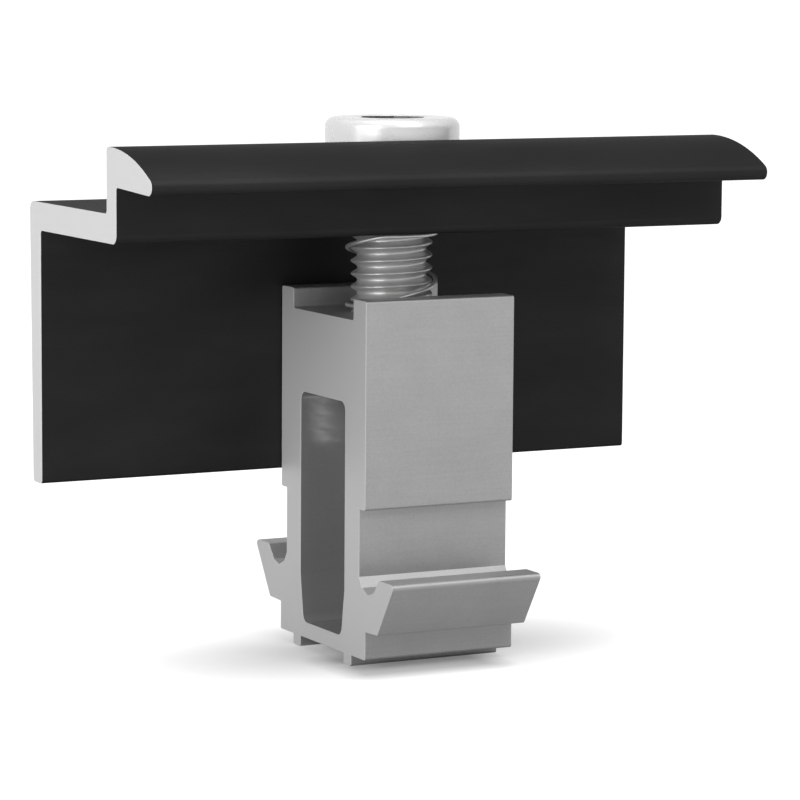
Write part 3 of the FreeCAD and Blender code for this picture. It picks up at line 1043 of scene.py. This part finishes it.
@dataclass
class CompressionSpring:
    """The thin spring round the screw: closed coil, open coils, closed coil."""

    mean_radius: float = 4.28
    wire_radius: float = 0.21
    low: float = 33.3
    high: float = 41.4
    closed_rise: float = 0.5
    open_turns: float = 1.092
    upper_turns: float = 0.93
    upper_rise: float = 0.34
    start_deg: float = -161.0
    ease: float = 0.06
    steps_per_turn: int = 96
    wire_sides: int = 20
    settle: float = 0.8
    finish: Finish = DrawnWire("drawn_spring_wire")

    def path(self) -> tuple[Array, Array]:
        """Works out the wire's centre line.

        The angle runs evenly. The height rises by one closed pitch over the first turn, by the
        rest over the open coils, and a little over the upper closed coil, and it is eased where
        its slope changes.

        Returns:
            The line's points and its directions.
        """
        turns = np.cumsum([0.0, 1.0, self.open_turns, self.upper_turns])
        first, last = self.low + self.wire_radius, self.high - self.wire_radius
        levels = np.array([first, first + self.closed_rise, last - self.upper_rise, last])
        turn = np.linspace(0, turns[-1], int(turns[-1] * self.steps_per_turn) + 1)
        ease = np.hanning(int(self.steps_per_turn * self.ease) * 2 + 1)
        z = np.pad(np.interp(turn, turns, levels), len(ease) // 2, mode="reflect", reflect_type="odd")
        z = np.clip(np.convolve(z, ease / ease.sum(), mode="valid"), first, last)
        angle = np.radians(self.start_deg) + turn * math.tau
        line = self.mean_radius * around(angle) + UP * z[:, None]
        ahead = np.gradient(line, axis=0)
        return line, ahead / np.linalg.norm(ahead, axis=1, keepdims=True)

    def build(self) -> Piece:
        """Builds the wire as a tube, flat where it bears on the block and on the strip.

        Round the wire a point is the centre line's plus the radius times the normal, which is
        the outward direction times the cosine plus the upward one times the sine.

        Returns:
            The piece.
        """
        line, ahead = self.path()
        up = np.cross(ahead, line * (1 - UP))
        up /= np.linalg.norm(up, axis=1, keepdims=True)
        out = np.cross(up, ahead)
        turn = np.linspace(0, math.tau, self.wire_sides + 1)[:, None]
        normals = out[:, None] * np.cos(turn) + up[:, None] * np.sin(turn)
        points = line[:, None] + self.wire_radius * normals
        points[..., 2] = np.clip(points[..., 2], self.low, self.high)
        shell = Shell("spring_wire_coil", [self.finish])
        shell.grid(points, normals)
        for end, sign in ((0, -1.0), (-1, 1.0)):
            cap = np.stack([points[end], np.broadcast_to(line[end], points[end].shape)])
            shell.grid(cap, sign * ahead[end])
        piece = shell.build(Slot.WIRE)
        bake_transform(piece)
        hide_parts("spring")
        return piece


# Studio


@dataclass(frozen=True)
class Lamp:
    """A soft square lamp: its place in millimetres, its side and its power in watts."""

    name: str
    place: Triple
    size: float
    power: float
    aim: Triple = (0.0, 0.0, 28.0)

    def hang(self) -> None:
        """Adds the lamp to the scene, facing its aim."""
        data = bpy.data.lights.new(self.name, "AREA")
        data.shape = "SQUARE"
        data.size = self.size * MM
        data.energy = self.power
        lamp = put(self.name, data)
        lamp.location = Vector(self.place) * MM
        away = Vector(self.place) - Vector(self.aim)
        lamp.rotation_euler = away.to_track_quat("Z", "Y").to_euler()


@dataclass(frozen=True)
class Surroundings:
    """Brightness of the world: white where it is seen, and in reflections white by the
    horizon behind, under a ceiling that is dimmer there and brighter on the module's side."""

    diffuse: float = 0.25
    horizon_front: float = 0.3
    horizon_back: float = 1.0
    ceiling_front: float = 0.78
    ceiling_back: float = 0.35
    horizon_edge: float = 0.05
    ceiling_edge: float = 0.45
    side_edge: float = 0.3

    def make(self) -> bpy.types.World:
        """Makes the world.

        Camera and transmission rays get 1. Glossy rays get the horizon's strength below the
        horizon's edge and the ceiling's above the ceiling's edge, by the direction's height.

        Returns:
            The world.
        """
        world = bpy.data.worlds.new("studio_world")
        bench = Bench(world)
        path = bench.add("ShaderNodeLightPath").outputs
        ahead = bench.add("ShaderNodeTexCoord").outputs["Generated"]
        way = bench.add("ShaderNodeSeparateXYZ", {0: ahead}).outputs
        climb = bench.spread(way[2], 0.0, 1.0, self.horizon_edge, self.ceiling_edge)
        back = bench.spread(way[1], 0.0, 1.0, -self.side_edge, self.side_edge)
        low = bench.spread(back, self.horizon_front, self.horizon_back, 0.0, 1.0)
        high = bench.spread(back, self.ceiling_front, self.ceiling_back, 0.0, 1.0)
        step = bench.math("MULTIPLY", climb, bench.math("SUBTRACT", high, low))
        glossy = bench.math("MULTIPLY", path["Is Glossy Ray"], bench.math("ADD", low, step))
        diffuse = bench.math("MULTIPLY", path["Is Diffuse Ray"], self.diffuse)
        seen = bench.math("MAXIMUM", path["Is Camera Ray"], path["Is Transmission Ray"])
        strength = bench.math("MAXIMUM", seen, bench.math("ADD", glossy, diffuse))
        light = bench.add("ShaderNodeBackground", {0: (1.0, 1.0, 1.0, 1.0), 1: strength})
        bench.add("ShaderNodeOutputWorld", {0: light.outputs[0]})
        return world


@dataclass
class Studio:
    """White floor, soft lamps, pale surroundings and the camera at the photo's view."""

    focal_px: float = 3613.478221
    image_px: float = 800.0
    tilt: float = 0.1238697884
    turn: float = 0.4780508009
    roll: float = 0.0068461331
    offset: Triple = (-1.0876861760, 24.3993646949, 354.7332494691)
    sensor: float = 36.0
    clip: Range = (0.01, 100.0)
    floor_radius: float = 6000.0
    floor_first: float = 20.0
    floor_rings: int = 16
    floor_sides: int = 96
    floor_colour: float = 0.55
    glow_centre: Triple = (-0.5, 0.0, 0.0)
    glow_stretch: float = 1.63
    # painted contact shadow: the glow is dimmed round this rectangle under the front foot
    painted_shadow_patch_centre: Triple = (-1.3, -6.8, 0.0)
    painted_shadow_patch_half: Triple = (6.5, 3.8, 1.0)
    painted_shadow_patch_share: float = 0.40
    painted_shadow_patch_width: float = 3.0
    # painted oval shadow: the glow is this low by the feet and rises outwards
    glow_in_painted_shadow: float = 0.11
    glow_around: float = 0.81
    glow_far: float = 1.0
    near_reach: Range = (0.0, 28.0)
    far_reach: Range = (100.0, 600.0)
    # painted shade in reflections: reflections see only a small share of the glow near the object
    mirrored_share: Range = (0.15, 1.0)
    mirrored_reach: Range = (60.0, 400.0)
    surroundings: Surroundings = Surroundings()
    lamps: tuple[Lamp, ...] = (
        Lamp("overhead", (0.0, 0.0, 450.0), 300.0, 0.72),
        Lamp("left", (-395.0, -144.0, 150.0), 300.0, 0.81),
        Lamp("left_low", (-414.0, -176.0, 60.0), 260.0, 0.30),
        Lamp("front_high", (60.0, -330.0, 380.0), 260.0, 0.64),
    )

    def build(self) -> None:
        """Makes the camera, the floor, the lamps and the world."""
        self._camera()
        self._floor()
        for lamp in self.lamps:
            lamp.hang()
        bpy.context.scene.world = self.surroundings.make()

    def _camera(self) -> None:
        """Places the camera.

        Its view of a point is the point turned, stood up, tilted and rolled, plus the offset,
        with X to the right, Y down and Z ahead.
        """
        view = Matrix.Identity(3)
        for angle, axis in ((self.roll, "Z"), (self.tilt, "X"), (math.pi / 2, "X"), (self.turn, "Z")):
            view = view @ Matrix.Rotation(angle, 3, axis)
        place = -(view.transposed() @ Vector(self.offset)) * MM
        data = bpy.data.cameras.new("photo_view")
        data.sensor_width = self.sensor
        data.lens = self.focal_px * self.sensor / self.image_px
        data.clip_start, data.clip_end = self.clip
        camera = put("photo_view", data)
        axes = Matrix((view[0], -view[1], -view[2])).transposed().to_4x4()
        camera.matrix_world = Matrix.Translation(place) @ axes
        bpy.context.scene.camera = camera

    def _floor(self) -> None:
        """Makes the floor, a disc of rings that grow outwards, with its white material."""
        radii = np.geomspace(self.floor_first, self.floor_radius, self.floor_rings) * MM
        points = revolved([0.0, *radii], self.floor_sides)[:, :-1]
        index = np.arange(points[..., 0].size).reshape(points.shape[:2])
        ahead = np.roll(index, -1, axis=1)
        faces = np.stack([index[:-1], index[1:], ahead[1:], ahead[:-1]], axis=-1).reshape(-1, 4)
        mesh = bpy.data.meshes.new("studio_floor")
        mesh.from_pydata(points.reshape(-1, 3).tolist(), [], faces.tolist())
        mesh.materials.append(self._floor_material())
        put("studio_floor", mesh)

    def _floor_material(self) -> Material:
        """Makes the floor's white: a matt surface that keeps the rendered shadow, lifted by a glow
        that paints more shadow.

        The glow rises with the distance from a point by the feet, in ovals longer along X, first
        past the object, which paints an oval shadow round it, and then out to where the lamps
        fade. It is dimmed close round the strip of floor under the front foot, by the distance to
        that rectangle, which paints a contact shadow there. Reflections get a small share of it
        near the object, which is painted shade on the faces that reflect that floor, and all of
        it far away.

        Returns:
            The material.
        """
        bench = MaterialBench("studio_floor_white")
        path = bench.add("ShaderNodeLightPath").outputs
        away = bench.vector("DISTANCE", bench.place((1.0, self.glow_stretch, 1.0)), self.glow_centre)
        # painted oval shadow: the glow is low near the object and rises outwards
        first = bench.spread(away, self.glow_in_painted_shadow, self.glow_around, *self.near_reach)
        more = bench.spread(away, 0.0, self.glow_far - self.glow_around, *self.far_reach)
        seen = bench.math("MAXIMUM", path["Is Camera Ray"], path["Is Transmission Ray"])
        mirrored_glow = bench.spread(away, *self.mirrored_share, *self.mirrored_reach)
        share = bench.math("MAXIMUM", seen, bench.math("MULTIPLY", path["Is Glossy Ray"], mirrored_glow))
        # painted contact shadow round the rectangle under the front foot
        out = bench.vector("SUBTRACT", bench.place(), self.painted_shadow_patch_centre)
        out = bench.vector("SUBTRACT", bench.vector("ABSOLUTE", out), self.painted_shadow_patch_half)
        gap = bench.vector("LENGTH", bench.vector("MAXIMUM", out))
        painted_shadow_dim = bench.spread(gap, self.painted_shadow_patch_share, 1.0, 0.0, self.painted_shadow_patch_width)
        glow = bench.math("MULTIPLY", painted_shadow_dim, bench.math("ADD", first, more))
        return bench.finish(Base_Color=(*(self.floor_colour,) * 3, 1.0), Roughness=1.0,
                            Specular_IOR_Level=0.0, Emission_Color=(1.0, 1.0, 1.0, 1.0),
                            Emission_Strength=bench.math("MULTIPLY", share, glow))


def main() -> None:
    """Builds every sub-assembly in order and reports its pieces."""
    logging.basicConfig(level=logging.INFO, format="%(message)s")
    for assembly in (ClickBlock(), ClampStrip(), ClampScrew(), CompressionSpring()):
        piece = assembly.build()
        LOG.info("%s: %s, %d faces", type(assembly).__name__, piece.name, len(piece.data.polygons))
    Studio().build()
    bpy.context.scene.view_settings.view_transform = "Standard"


if __name__ == "__main__":
    main()
